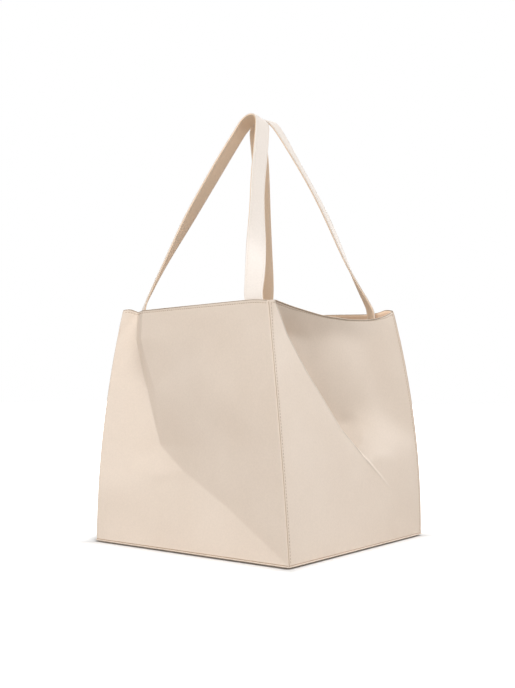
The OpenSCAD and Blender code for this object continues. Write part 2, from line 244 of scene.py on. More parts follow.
def blurred(field, sigma):
    """Gaussian blur that keeps the values along the border."""
    reach = int(math.ceil(3 * sigma))
    kernel = np.exp(-0.5 * (np.arange(-reach, reach + 1) / sigma) ** 2)
    kernel /= kernel.sum()
    for axis in (0, 1):
        pad = [(0, 0)] * field.ndim
        pad[axis] = (reach, reach)
        wide = np.pad(field, pad, mode="reflect", reflect_type="odd")
        total = np.zeros_like(field)
        for k, weight in enumerate(kernel):
            cut = [slice(None)] * field.ndim
            cut[axis] = slice(k, k + field.shape[axis])
            total += weight * wide[tuple(cut)]
        field = total
    return field


def line_distance(plan, lines, size):
    """Distance in millimetres from each grid point to the nearest of the plan's crease lines."""
    axis = np.linspace(0, 1, GRID_N + 1)
    u, v = np.meshgrid(axis, axis)
    here = np.stack([u * size[0], v * size[1]], -1)
    best = np.full(u.shape, 1e9)
    for line in lines:
        for i, j in zip(line, line[1:]):
            a = np.array(plan[i][:2]) * size
            d = np.array(plan[j][:2]) * size - a
            t = np.clip(((here - a) @ d) / (d @ d), 0, 1)
            best = np.minimum(best, np.linalg.norm(here - a - t[..., None] * d, axis=-1))
    return best


def smooth_step(x):
    """Rises smoothly from 0 to 1 as x does."""
    x = np.clip(x, 0, 1)
    return x * x * (3 - 2 * x)


# Blur in grid cells at the creases, and (blur, first distance, last distance) in millimetres of the
# softer levels that take over away from them.
CRISP_SIGMA = 0.35
SOFT_LEVELS = [(3.0, 2.0, 11.0), (10.0, 20.0, 48.0)]


def fold_field(plan, faces, creases):
    """The folded shape of one wall: crisp at its creases and soft between them."""
    raw = fill_field(plan, faces)
    near = line_distance(plan, creases, np.array([FIELD_W, BODY_H]))
    field = blurred(raw, CRISP_SIGMA)
    for sigma, first, last in SOFT_LEVELS:
        share = smooth_step((near - first) / (last - first))[..., None]
        field = field * (1 - share) + blurred(raw, sigma) * share
    return field


# Number of crossing waves in the leather's unevenness, and their depth in millimetres.
WAVES = 7
WAVE_DEPTH = 0.35


def waved(field, seed):
    """Adds the slight unevenness of soft leather, fading out at the borders."""
    rng = np.random.RandomState(seed)
    axis = np.linspace(0, 1, GRID_N + 1)
    u, v = np.meshgrid(axis, axis)
    total = np.zeros(u.shape)
    for _ in range(WAVES):
        turns = rng.uniform(1.0, 4.5)
        angle = rng.uniform(0, math.tau)
        phase = rng.uniform(0, math.tau)
        total += np.sin(math.tau * turns * (u * math.cos(angle) + v * math.sin(angle)) + phase) / turns
    fade = smooth_step(u * 8) * smooth_step((1 - u) * 8) * smooth_step(v * 8) * smooth_step((1 - v) * 10)
    field = field.copy()
    field[..., 0] += WAVE_DEPTH * total * fade
    return field


DIMPLE_FIELD = fold_field(DIMPLE_PLAN, DIMPLE_FACES, DIMPLE_CREASES)
DIAGONAL_FIELD = fold_field(DIAGONAL_PLAN, DIAGONAL_FACES, DIAGONAL_CREASES)
FIELDS = {
    "front": waved(DIMPLE_FIELD, 3),
    "back": waved(DIMPLE_FIELD, 8),
    "right": waved(DIAGONAL_FIELD, 5),
    "left": waved(DIAGONAL_FIELD, 9),
}


def sample(field, u, v):
    """Bilinear value of a field at shares u and v."""
    x = np.clip(u, 0, 1) * GRID_N
    y = np.clip(v, 0, 1) * GRID_N
    i = np.minimum(x.astype(int), GRID_N - 1)
    j = np.minimum(y.astype(int), GRID_N - 1)
    fx = (x - i)[..., None]
    fy = (y - j)[..., None]
    low = field[j, i] * (1 - fx) + field[j, i + 1] * fx
    high = field[j + 1, i] * (1 - fx) + field[j + 1, i + 1] * fx
    return low * (1 - fy) + high * fy


def corner_at(signs, z):
    """Plan position of a corner seam at height z."""
    t = z / BODY_H
    scale = 1 - 2 * DRAW_IN / BASE_W * t * t
    turn = np.radians(RIM_TWIST) * t
    x = signs[0] * BASE_W / 2
    y = signs[1] * BASE_D / 2
    return np.stack([
        scale * (x * np.cos(turn) + y * np.sin(turn)) - LEAN_LEFT * t * t,
        scale * (y * np.cos(turn) - x * np.sin(turn)) - LEAN_FRONT * t * t,
    ], -1)


def groove(off):
    """Depth of the furrow that a row of stitches pulls in, at a distance from the row."""
    return GROOVE * np.exp(-(off / GROOVE_W) ** 2)


def seam_groove(name, along, length):
    """The furrows beside the corner seams. Only the side panels are stitched there."""
    if name in ("front", "back"):
        return np.zeros_like(along)
    return groove(along - SEAM_STITCH_IN) + groove(length - along - SEAM_STITCH_IN)


def wall_surface(name, u, v, inset=0.0):
    """Points of a wall at shares u and v, a depth inside its outer face, in millimetres. The surface
    rounds into the mitre near the corner seams."""
    first, last, inward = WALLS[name]
    u, v = np.broadcast_arrays(np.asarray(u, float), np.asarray(v, float))
    z = WALL_FOOT + v * (BODY_H - WALL_FOOT)
    a = corner_at(first, z)
    b = corner_at(last, z)
    run = b - a
    length = np.linalg.norm(run, axis=-1)
    along = u * length
    sunk = np.zeros_like(along)
    for side in (0, 1):
        s = along if side == 0 else length - along
        arc = np.radians(45) * np.clip(1 - s / CORNER_R, 0, 1)
        near = s < CORNER_R
        eased = CORNER_R * (1 - np.sin(arc))
        sunk = np.where(near, CORNER_R * (1 - np.cos(arc)), sunk)
        along = np.where(near, eased if side == 0 else length - eased, along)
    if not inset:
        below_rim = (1 - v) * (BODY_H - WALL_FOOT)
        sunk = sunk + np.maximum(groove(below_rim - RIM_STITCH_DOWN), seam_groove(name, along, length))
    fold = sample(FIELDS[name], u, v)
    along = np.clip(along, inset, length - inset)
    plan = a + run / length[..., None] * along[..., None]
    plan = plan + np.array(inward) * (fold[..., 0] + sunk + inset)[..., None]
    return np.concatenate([plan, (z + fold[..., 1])[..., None]], -1)


def grid_normals(points):
    """Unit normals of a grid of points, out of the bag for grids with u to the right and v up."""
    du = np.gradient(points, axis=1)
    dv = np.gradient(points, axis=0)
    n = np.cross(du, dv)
    return n / np.linalg.norm(n, axis=-1, keepdims=True)


def spread(length, step, fine):
    """Shares from 0 to 1 with fine steps in millimetres listed for both ends."""
    ends = np.array(fine) / length
    middle = np.linspace(ends[-1], 1 - ends[-1], int(round((length - 2 * fine[-1]) / step)) + 1)
    return np.concatenate([ends[:-1], middle, 1 - ends[:-1][::-1]])


# Mesh making

def new_mesh(name, points, faces, material, smooth=True):
    """A mesh object from points in millimetres."""
    mesh = bpy.data.meshes.new(name)
    mesh.from_pydata((np.asarray(points, float) * MM).tolist(), [], [tuple(int(i) for i in f) for f in faces])
    mesh.materials.append(material)
    mesh.validate()
    if smooth:
        mesh.polygons.foreach_set("use_smooth", [True] * len(mesh.polygons))
    mesh.update()
    piece = bpy.data.objects.new(name, mesh)
    bpy.context.scene.collection.objects.link(piece)
    return piece


def grid_faces(rows, cols, start=0, flip=False):
    """Quads of a grid of rows by cols points."""
    out = []
    for r in range(rows - 1):
        for c in range(cols - 1):
            a = start + r * cols + c
            quad = (a, a + 1, a + cols + 1, a + cols)
            out.append(quad[::-1] if flip else quad)
    return out


def slab_mesh(name, outer, inner, material):
    """A closed sheet between two grids of points."""
    rows, cols = outer.shape[:2]
    count = rows * cols
    faces = grid_faces(rows, cols) + grid_faces(rows, cols, count, flip=True)
    border = (
        [r * cols for r in range(rows)][::-1]
        + list(range(cols))[1:]
        + [r * cols + cols - 1 for r in range(rows)][1:]
        + [(rows - 1) * cols + c for c in range(cols)][::-1][1:]
    )
    for a, b in zip(border, border[1:]):
        faces.append((b, a, a + count, b + count))
    points = np.concatenate([outer.reshape(-1, 3), inner.reshape(-1, 3)])
    return new_mesh(name, points, faces, material)


def tube_mesh(name, rings, material):
    """A skin round a list of rings of points, with flat ends."""
    rings = np.asarray(rings, float)
    count, size = rings.shape[:2]
    faces = []
    for r in range(count - 1):
        a = r * size
        b = a + size
        for k in range(size):
            m = (k + 1) % size
            faces.append((a + k, a + m, b + m, b + k))
    faces.append(tuple(range(size))[::-1])
    faces.append(tuple((count - 1) * size + k for k in range(size)))
    return new_mesh(name, rings.reshape(-1, 3), faces, material)


def unit(v):
    """Vectors scaled to length 1."""
    v = np.asarray(v, float)
    return v / np.linalg.norm(v, axis=-1, keepdims=True)


# Half of the distance over which a stitch's direction is read from its path.
LOOK = 0.4


def along_path(path, pitch):
    """Positions, directions and indices every pitch along a path of points."""
    step = np.linalg.norm(np.diff(path, axis=0), axis=1)
    where = np.concatenate([[0], np.cumsum(step)])
    count = int(where[-1] // pitch)
    at = (np.arange(count) + 0.5) * where[-1] / count
    points = np.stack([np.interp(at, where, path[:, k]) for k in range(3)], -1)
    ahead = np.stack([np.interp(at + LOOK, where, path[:, k]) for k in range(3)], -1)
    behind = np.stack([np.interp(at - LOOK, where, path[:, k]) for k in range(3)], -1)
    index = np.interp(at, where, np.arange(len(path)))
    return points, unit(ahead - behind), index


# One stitch: (share of its half length, share of its radius) at each ring, and the sides of a ring.
STITCH_RINGS = [(-1.0, 0.0), (-0.82, 0.8), (0.0, 1.0), (0.82, 0.8), (1.0, 0.0)]
STITCH_SIDES = 6


def stitch_row(name, paths, material):
    """Stitches along several paths. Each path is (points, normals), with the thread on the surface."""
    points = []
    faces = []
    sides = STITCH_SIDES
    for path, normals in paths:
        where, ahead, index = along_path(path, STITCH_PITCH)
        for p, t, i in zip(where, ahead, index):
            low = int(i)
            up = unit(normals[low] * (1 - (i - low)) + normals[min(low + 1, len(normals) - 1)] * (i - low))
            side = unit(np.cross(t, up))
            start = len(points)
            for x, r in STITCH_RINGS:
                rise = 0.25 * (1 - x * x) * STITCH_R
                for k in range(sides):
                    angle = math.tau * k / sides
                    points.append(p + t * x * STITCH_LEN / 2 + up * (rise + r * STITCH_R * math.sin(angle))
                                  + side * r * STITCH_R * math.cos(angle))
            for ring in range(len(STITCH_RINGS) - 1):
                for k in range(sides):
                    a = start + ring * sides
                    m = (k + 1) % sides
                    faces.append((a + k, a + sides + k, a + sides + m, a + m))
    return new_mesh(name, points, faces, material)


# Materials

def linear(srgb):
    """Linear colour from 0 to 255 sRGB values."""
    out = []
    for c in srgb:
        c /= 255
        out.append(c / 12.92 if c <= 0.04045 else ((c + 0.055) / 1.055) ** 2.4)
    return (*out, 1.0)


class Nodes:
    """A material's node tree with short ways to add nodes."""

    def __init__(self, name):
        self.material = bpy.data.materials.new(name)
        self.material.use_nodes = True
        self.tree = self.material.node_tree
        self.shader = self.tree.nodes["Principled BSDF"]

    def add(self, kind, **values):
        made = self.tree.nodes.new(kind)
        for key, value in values.items():
            if hasattr(made, key):
                setattr(made, key, value)
            else:
                made.inputs[key.replace("_", " ")].default_value = value
        return made

    def link(self, source, target):
        self.tree.links.new(source, target)


def noise(m, coords, scale, detail=3.0, roughness=0.55):
    """Noise over the piece's own coordinates."""
    made = m.add("ShaderNodeTexNoise", Scale=scale, Detail=detail, Roughness=roughness)
    m.link(coords.outputs["Object"], made.inputs["Vector"])
    return made.outputs["Fac"]


def ramp(m, source, stops):
    """Colours at stops of (place, colour), picked by a value."""
    made = m.add("ShaderNodeValToRGB")
    while len(made.color_ramp.elements) < len(stops):
        made.color_ramp.elements.new(0.5)
    for element, (place, colour) in zip(made.color_ramp.elements, stops):
        element.position = place
        element.color = colour
    m.link(source, made.inputs["Fac"])
    return made.outputs["Color"]


def mixed(m, kind, a, b, factor):
    """Two colours blended. Each of a, b and factor is a socket or a fixed value."""
    made = m.add("ShaderNodeMix", data_type="RGBA", blend_type=kind)
    for value, socket in ((factor, made.inputs["Factor"]), (a, made.inputs["A"]), (b, made.inputs["B"])):
        pick = socket
        if socket.name in ("A", "B"):
            pick = [s for s in made.inputs if s.name == socket.name and s.type == "RGBA"][0]
        if isinstance(value, bpy.types.NodeSocket):
            m.link(value, pick)
        else:
            pick.default_value = value
    return [s for s in made.outputs if s.type == "RGBA"][0]


def maths(m, operation, *values):
    """The result of one math node, from sockets and fixed numbers."""
    made = m.add("ShaderNodeMath", operation=operation)
    for value, socket in zip(values, made.inputs):
        if isinstance(value, bpy.types.NodeSocket):
            m.link(value, socket)
        else:
            socket.default_value = value
    return made.outputs["Value"]


def leather(name, colour, shade, rough=0.5, grain=0.12, cell=900.0, specular=0.35, crease_shade=False):
    """Fine-grained leather: soft colour clouds, small pebbled cells and pores in the bump."""
    m = Nodes(name)
    coords = m.add("ShaderNodeTexCoord")
    clouds = ramp(m, noise(m, coords, 9.0), [(0.3, linear(shade)), (0.7, linear(colour))])
    fine = ramp(m, noise(m, coords, 420.0, 2.0), [(0.35, (0.93, 0.93, 0.93, 1)), (0.65, (1, 1, 1, 1))])
    finish = mixed(m, "MULTIPLY", clouds, fine, 0.5)
    # Painted shade: darkens the colour along the side creases, where the mesh carries the mark.
    if crease_shade:
        crease_shade_mark = m.add("ShaderNodeAttribute", attribute_name="crease_shade_mark")
        crease_shade_tint = ramp(m, crease_shade_mark.outputs["Fac"], [(0.0, (1, 1, 1, 1)), (1.0, CREASE_SHADE_SHARE)])
        finish = mixed(m, "MULTIPLY", finish, crease_shade_tint, 1.0)
    m.link(finish, m.shader.inputs["Base Color"])
    cells = m.add("ShaderNodeTexVoronoi", feature="DISTANCE_TO_EDGE", Scale=cell)
    m.link(coords.outputs["Object"], cells.inputs["Vector"])
    height = maths(m, "MULTIPLY_ADD", cells.outputs["Distance"], 0.8, noise(m, coords, 160.0, 4.0))
    bump = m.add("ShaderNodeBump", Strength=grain, Distance=0.0006)
    m.link(height, bump.inputs["Height"])
    m.link(bump.outputs["Normal"], m.shader.inputs["Normal"])
    spread_of = m.add("ShaderNodeMapRange")
    m.link(noise(m, coords, 60.0), spread_of.inputs["Value"])
    spread_of.inputs["To Min"].default_value = rough - 0.06
    spread_of.inputs["To Max"].default_value = rough + 0.08
    m.link(spread_of.outputs["Result"], m.shader.inputs["Roughness"])
    m.shader.inputs["Specular IOR Level"].default_value = specular
    return m.material


# Scale of the wave texture that draws the weave.
WEAVE_SCALE = 1400.0 / 6


def cloth(name, colour, shade):
    """Fine plain weave, from two crossing wave patterns."""
    m = Nodes(name)
    coords = m.add("ShaderNodeTexCoord")
    clouds = ramp(m, noise(m, coords, 14.0), [(0.3, linear(shade)), (0.7, linear(colour))])
    m.link(clouds, m.shader.inputs["Base Color"])
    waves = []
    for direction in ("X", "Z"):
        wave = m.add("ShaderNodeTexWave", wave_type="BANDS", bands_direction=direction,
                     Scale=WEAVE_SCALE, Distortion=0.6)
        m.link(coords.outputs["Object"], wave.inputs["Vector"])
        waves.append(wave.outputs["Fac"])
    bump = m.add("ShaderNodeBump", Strength=0.25, Distance=0.0003)
    m.link(maths(m, "MAXIMUM", *waves), bump.inputs["Height"])
    m.link(bump.outputs["Normal"], m.shader.inputs["Normal"])
    m.shader.inputs["Roughness"].default_value = 0.85
    m.shader.inputs["Sheen Weight"].default_value = 0.15
    return m.material


def thread(name, colour, shade):
    """Waxed thread with a fine twist."""
    m = Nodes(name)
    coords = m.add("ShaderNodeTexCoord")
    m.link(ramp(m, noise(m, coords, 700.0), [(0.35, linear(shade)), (0.65, linear(colour))]),
           m.shader.inputs["Base Color"])
    m.shader.inputs["Roughness"].default_value = 0.6
    return m.material


# Share of the leather's colour that is left along a side crease, where painted shade darkens the crease line.
CREASE_SHADE_SHARE = (0.46, 0.42, 0.37, 1)
OUTER = leather("outer_leather", (236, 221, 206), (230, 214, 198), crease_shade=True)
# The straps' outer leather is a lighter copy of the walls' leather: painted light for the brighter light on
# the straps' faces.
STRAP_PAINTED_LIGHT = leather("strap_leather_painted_light", (247, 238, 230), (242, 232, 222), rough=0.48)
INNER = leather("inner_leather", (244, 215, 187), (236, 205, 177),
                rough=0.62, grain=0.2, cell=1300.0, specular=0.25)
# The straps' inner leather is a lighter copy of the facing's leather: painted light that lifts the shade on
# the straps' inner faces.
STRAP_INNER_PAINTED_LIGHT = leather("strap_inner_leather_painted_light", (254, 230, 204), (247, 221, 194),
                      rough=0.62, grain=0.2, cell=1300.0, specular=0.25)
EDGE = leather("edge_paint", (158, 138, 116), (142, 122, 100), rough=0.4, grain=0.05)
SEAM_EDGE = leather("seam_edge_paint", (196, 172, 148), (182, 158, 134), rough=0.4, grain=0.05)
SOLE = leather("sole_leather", (206, 186, 166), (196, 176, 155), rough=0.55, grain=0.2)
LINING = cloth("lining_cloth", (222, 200, 172), (213, 190, 161))
# The stitch thread is painted darker than the cream leather: painted shade of the stitch holes.
THREAD_PAINTED_SHADE = thread("thread", (192, 168, 144), (170, 146, 122))
PALE_THREAD = thread("pale_thread", (244, 235, 226), (234, 224, 214))
BOARD = leather("board", (140, 132, 122), (128, 120, 110), rough=0.8, grain=0.4, cell=500.0, specular=0.2)


# The leather shell

# A wall's mesh has lines at these distances in millimetres from a corner seam and from the rim, close
# together where the seam is rounded and in the furrows of the stitches. In between it has even steps,
# counted along a wall of width GRID_W.
GRID_W = 280.0
SEAM_COLUMNS = [0, 0.4, 0.8, 1.3, 2.0, 2.8, 3.5, 3.9, 4.2, 4.5, 4.9, 5.6]
RIM_ROWS = [7.0, 5.2, 4.6, 4.3, 4.0, 3.7, 3.4, 2.8, 2.2, 0.0]
OUTER_STEP = 1.25
LAYER_STEP = 3.0


def wall_grid(name, low_v, high_v, inset, step):
    """A grid over part of a wall's height with fine columns at the corner seams."""
    us = spread(GRID_W, step, SEAM_COLUMNS)
    height = (high_v - low_v) * (BODY_H - WALL_FOOT)
    vs = low_v + (high_v - low_v) * np.linspace(0, 1, int(round(height / step)) + 1)
    if not inset:
        fine = 1 - np.array(RIM_ROWS) / height
        vs = np.concatenate([vs[vs < fine[0] - 0.5 * step / height], fine])
    return wall_surface(name, us[None, :], vs[:, None], inset)


def rolled_rim(outer, normals, thickness):
    """Carries a wall's outer and inner faces into a round edge at the top."""
    up = unit(outer[-1] - outer[-2])
    rows = []
    base = outer[-1] - up * RIM_R
    middle = base - normals[-1] * thickness / 2
    for angle in np.radians(np.arange(15, 180, 15)):
        rows.append(middle + normals[-1] * math.cos(angle) * thickness / 2 + up * math.sin(angle) * RIM_R)
    return np.array(rows)


# Half width of the painted shade line on a side crease, and its strength as (share of the way down,
# strength).
CREASE_SHADE_W = 1.6
CREASE_SHADE_FADE = [(0.0, 1.0), (0.75, 1.0), (0.9, 0.5), (1.0, 0.0)]


def paint_crease_shade(piece, name):
    """Marks a side wall's leather along its long crease for painted shade, fading down the crease."""
    crest = np.array([DIAGONAL_PLAN[i][:2] for i in DIAGONAL_CREASES[0]])
    t = np.linspace(0, len(crest) - 1, 300)
    u = np.interp(t, range(len(crest)), crest[:, 0])
    v = np.interp(t, range(len(crest)), crest[:, 1])
    path = wall_surface(name, u, v)
    here = np.zeros(3 * len(piece.data.vertices))
    piece.data.vertices.foreach_get("co", here)
    here = here.reshape(-1, 3) / MM
    best = np.zeros(len(here))
    shares, strengths = zip(*CREASE_SHADE_FADE)
    for point, strength in zip(path, np.interp(np.linspace(0, 1, len(path)), shares, strengths)):
        away = np.linalg.norm(here - point, axis=1)
        best = np.maximum(best, strength * np.exp(-(away / CREASE_SHADE_W) ** 2))
    crease_shade_mark = piece.data.attributes.new("crease_shade_mark", "FLOAT", "POINT")
    crease_shade_mark.data.foreach_set("value", best.astype(np.float32))


def make_wall(name):
    """One outer leather panel as a closed sheet with a rolled upper edge."""
    outer = wall_grid(name, 0.0, 1.0, 0.0, OUTER_STEP)
    normals = grid_normals(outer)
    inner = outer - normals * SHELL_T
    flat = outer[-1].copy()
    up = unit(outer[-1] - outer[-2])
    outer[-1] = flat - up * RIM_R
    inner[-1] = flat - up * RIM_R - normals[-1] * SHELL_T
    roll = rolled_rim(np.concatenate([outer[:-1], flat[None]]), normals, SHELL_T)
    wrapped = np.concatenate([outer, roll, inner[::-1]])
    rows, cols = wrapped.shape[:2]
    faces = grid_faces(rows, cols)
    for c in range(cols - 1):
        faces.append((c + 1, c, (rows - 1) * cols + c, (rows - 1) * cols + c + 1))
    left = [r * cols for r in range(rows)]
    right = [r * cols + cols - 1 for r in range(rows)]
    half = len(outer) + len(roll) // 2
    for side, flip in ((left, False), (right, True)):
        for r in range(half - 1):
            quad = (side[r], side[r + 1], side[rows - 2 - r], side[rows - 1 - r])
            faces.append(quad[::-1] if flip else quad)
    piece = new_mesh(f"leather_{name}", wrapped.reshape(-1, 3), faces, OUTER)
    # Painted shade along the long crease of each side wall.
    if name in ("left", "right"):
        paint_crease_shade(piece, name)
    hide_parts(f"{name}_wall")
    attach(piece, "bag")


def make_layer(name, low_v, high_v, thickness, material, kind):
    """A facing or a lining, glued inside a wall."""
    depth = WALL_T + GLUE_GAP
    outer = wall_grid(name, low_v, high_v, depth, LAYER_STEP)
    inner = wall_grid(name, low_v, high_v, depth + thickness, LAYER_STEP)
    piece = slab_mesh(f"{kind}_inside_{name}", outer, inner, material)
    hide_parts(f"{name}_{kind}")
    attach(piece, "bag")


def wall_line(name, us, vs, inset=0.0):
    """Points and outward normals along a line on a wall."""
    us, vs = np.broadcast_arrays(np.asarray(us, float), np.asarray(vs, float))
    step = 0.003
    across = wall_surface(name, us + step, vs, inset) - wall_surface(name, us - step, vs, inset)
    rise = wall_surface(name, us, vs + step, inset) - wall_surface(name, us, vs - step, inset)
    return wall_surface(name, us, vs, inset), unit(np.cross(across, rise))


def seam_length(name, vs):
    """Width of a wall at shares of its height."""
    first, last, _ = WALLS[name]
    z = WALL_FOOT + vs * (BODY_H - WALL_FOOT)
    return np.linalg.norm(corner_at(last, z) - corner_at(first, z), axis=-1)


def make_wall_stitches(name):
    """Rows of topstitching under the rim and, on the side panels, beside the corner seams."""
    rim_v = 1 - RIM_STITCH_DOWN / (BODY_H - WALL_FOOT)
    rows = [wall_line(name, np.linspace(0.012, 0.988, 300), rim_v)]
    if name in ("left", "right"):
        vs = np.linspace(0.008, rim_v, 300)
        share = SEAM_STITCH_IN / seam_length(name, vs)
        rows.append(wall_line(name, share, vs))
        rows.append(wall_line(name, 1 - share, vs))
    piece = stitch_row(f"stitches_{name}", rows, THREAD_PAINTED_SHADE)
    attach(piece, "bag")


def make_facing_stitches(name):
    """The row that holds the facing's lower edge over the lining."""
    v = FACING_V + FACING_STITCH_UP / BODY_H
    line, outward = wall_line(name, np.linspace(0.03, 0.97, 300), v, FACING_DEPTH)
    piece = stitch_row(f"stitches_inside_{name}", [(line, -outward)], THREAD_PAINTED_SHADE)
    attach(piece, "bag")


def make_rim_edge(name):
    """The painted raw edge on top of the rim, along one wall."""
    us = spread(GRID_W, 2.0, SEAM_COLUMNS[:6])
    top, out = wall_line(name, us, 1.0)
    middle = top - out * (WALL_T / 2) - np.array([0, 0, EDGE_R + 0.1])
    ahead = unit(np.gradient(middle, axis=0))
    side = unit(np.cross(ahead, [0, 0, 1.0]))
    half = WALL_T / 2 + RIM_EDGE_OVER
    angles = np.radians(np.arange(0, 360, 30))
    rings = []
    for m, s in zip(middle, side):
        rings.append([m + s * half * math.cos(a) + np.array([0, 0, EDGE_R * math.sin(a)]) for a in angles])
    piece = tube_mesh(f"edge_paint_{name}", rings, EDGE)
    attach(piece, "bag")


def edge_line(name, path, radius):
    """A thin bead of edge paint along a path of points."""
    ahead = unit(np.gradient(path, axis=0))
    flat = unit(np.cross(ahead, [0.3, 0.2, 0.93] if abs(ahead[0][2]) < 0.7 else [1.0, 0.4, 0]))
    deep = np.cross(ahead, flat)
    turns = np.radians(np.arange(0, 360, 45))
    rings = []
    for p, a, b in zip(path, flat, deep):
        rings.append([p + radius * (a * math.cos(t) + b * math.sin(t)) for t in turns])
    piece = tube_mesh(name, rings, SEAM_EDGE)
    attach(piece, "bag")


def make_seam_edge(name):
    """The painted edge of the side panel where it laps the next wall at a wall's left corner seam."""
    vs = np.linspace(0.004, 0.994, 160)
    share = SEAM_EDGE_IN / seam_length(name, vs)
    if name in SEAM_OWNER:
        line, _ = wall_line(SEAM_OWNER[name], 1 - share, vs)
    else:
        line, _ = wall_line(name, share, vs)
    edge_line(f"seam_edge_{name}", line, SEAM_EDGE_R)


for wall in WALLS:
    make_wall(wall)
    make_seam_edge(wall)
    make_wall_stitches(wall)
    make_facing_stitches(wall)
    make_rim_edge(wall)
    make_layer(wall, FACING_V, 0.996, FACING_T, INNER, "facing")
    make_layer(wall, 0.0, FACING_V, LINING_T, LINING, "lining")


# Base

# Profiles up the edges of the sole and the welt, as (inset, height above the piece's underside).
SOLE_PROFILE = [(9.0, 0), (6.0, 0.5), (2.0, 1.5), (0.6, SOLE_T - 0.3), (0.4, SOLE_T)]
WELT_PROFILE = [(0.5, 0), (0.1, 0.3), (0, 0.65), (0.1, WELT_T - 0.3), (0.5, WELT_T)]
SOLE_CORNER_R = 10.0
WELT_CORNER_R = 4.0

# Room between the base's lining and the walls' linings, with the glue gap, and the height of its waves.
LINING_CLEAR = 1.5
LINING_WAVE = 0.25


def round_plate(name, radius, profile, material):
    """A flat plate under the whole bag with rounded corners. The profile lists (inset, height)."""
    width = BASE_W + 2 * WELT_OUT
    depth = BASE_D + 2 * WELT_OUT
    rings = []
    for inset, z in profile:
        ring = []
        for sx, sy, start in ((1, 1, 0), (-1, 1, 90), (-1, -1, 180), (1, -1, 270)):
            cx = sx * (width / 2 - radius)
            cy = sy * (depth / 2 - radius)
            for k in range(7):
                a = math.radians(start + 15 * k)
                ring.append((cx + (radius - inset) * math.cos(a), cy + (radius - inset) * math.sin(a), z))
        rings.append(ring)
    return tube_mesh(name, rings, material)


def make_sole():
    """The leather sole with its undercut edge."""
    sole = round_plate("sole_leather_piece", SOLE_CORNER_R, SOLE_PROFILE, SOLE)
    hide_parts("sole")
    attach(sole, "bag")


def make_welt():
    """The leather bead between the sole and the walls."""
    bead = [(inset, SOLE_T + z) for inset, z in WELT_PROFILE]
    welt = round_plate("welt_leather_piece", WELT_CORNER_R, bead, OUTER)
    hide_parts("welt")
    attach(welt, "bag")


def make_foot_edges():
    """The painted lower edge of each wall."""
    for name in WALLS:
        foot, _ = wall_line(name, np.linspace(0.002, 0.998, 160), 0.0012)
        edge_line(f"foot_edge_{name}", foot, FOOT_EDGE_R)


def make_floor_lining():
    """The lining over the stiffening board, slightly uneven."""
    inset = WALL_T + LINING_T + LINING_CLEAR
    low = WALL_FOOT + BOARD_T
    axis_x = np.linspace(-BASE_W / 2 + inset, BASE_W / 2 - inset, 80)
    axis_y = np.linspace(-BASE_D / 2 + inset, BASE_D / 2 - inset, 80)
    x, y = np.meshgrid(axis_x, axis_y)
    wave = LINING_WAVE * (np.sin(x / 31 + 1) * np.sin(y / 27 + 2) + 1)
    top = np.stack([x, y, low + LINING_T + wave], -1)
    under = np.stack([x, y, np.full_like(x, low)], -1)
    lining = slab_mesh("lining_base_piece", top, under, LINING)
    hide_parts("base_lining")
    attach(lining, "bag")


def dress_board():
    """The board keeps its solid and gets its own material."""
    board = frame["nodes"]["base_board"]
    board.data.materials.clear()
    board.data.materials.append(BOARD)


make_sole()
make_welt()
make_foot_edges()
make_floor_lining()
dress_board()


# Handles

FRONT_LEFT, FRONT_RIGHT, _ = WALLS["front"]
RIM_LEN = np.linalg.norm(corner_at(FRONT_RIGHT, BODY_H) - corner_at(FRONT_LEFT, BODY_H))

# Share of the pleat's slope that is left free at each side of a strap end sewn to it.
SLOPE_FREE = 0.18


def pleat_sides(v):
    """Shares of the front wall's width at the pleat's valley and ridge, near the rim."""
    t = (v - FACING_V) / (1 - FACING_V)
    valley = VALLEY_U[0] + (VALLEY_U[1] - VALLEY_U[0]) * t
    ridge = RIDGE_U[0] + (RIDGE_U[1] - RIDGE_U[0]) * t
    return valley, ridge


def root_strip(side):
    """Middle line of a sewn strap end on the front wall, from its low end up to the rim: points and
    directions across. The left one (-1) lies on the pleat's slope."""
    vs = np.linspace(1 - END_LEN / BODY_H, 1.0, 10)
    if side < 0:
        valley, ridge = pleat_sides(vs)
        free = (ridge - valley) * SLOPE_FREE
        a = wall_surface("front", valley + free, vs, END_DEPTH)
        b = wall_surface("front", ridge - free, vs, END_DEPTH)
    else:
        mid_u = 1 - ROOT_INSET / RIM_LEN
        half = STRAP_W / 2 / RIM_LEN
        a = wall_surface("front", mid_u - half, vs, END_DEPTH)
        b = wall_surface("front", mid_u + half, vs, END_DEPTH)
    across = unit(b - a) * side
    middle = (a + b) / 2
    rise = unit(np.gradient(middle, axis=0))
    outward = unit(np.cross(across, rise)) * side
    return middle - outward * STRAP_PLY, across


# The front handle turns about its bending line, with a root at HALF_SPAN to each side of the line's
# middle. The loop's plane leans into the bag by LEAN.
hinge = [j for j in frame["joints"] if j["child"] == "front_handle"][0]
BEND_MID = np.array(hinge["pos_m"]) / MM
BEND_DIR = unit(np.array(hinge["axis"]))
BEND_IN = np.array([-BEND_DIR[1], BEND_DIR[0], 0.0])
HALF_SPAN = 100.93
LEAN = math.radians(23.26)
PLANE_UP = BEND_IN * math.sin(LEAN) + np.array([0, 0, 1.0]) * math.cos(LEAN)
PLANE_OUT = np.cross(BEND_DIR, PLANE_UP)

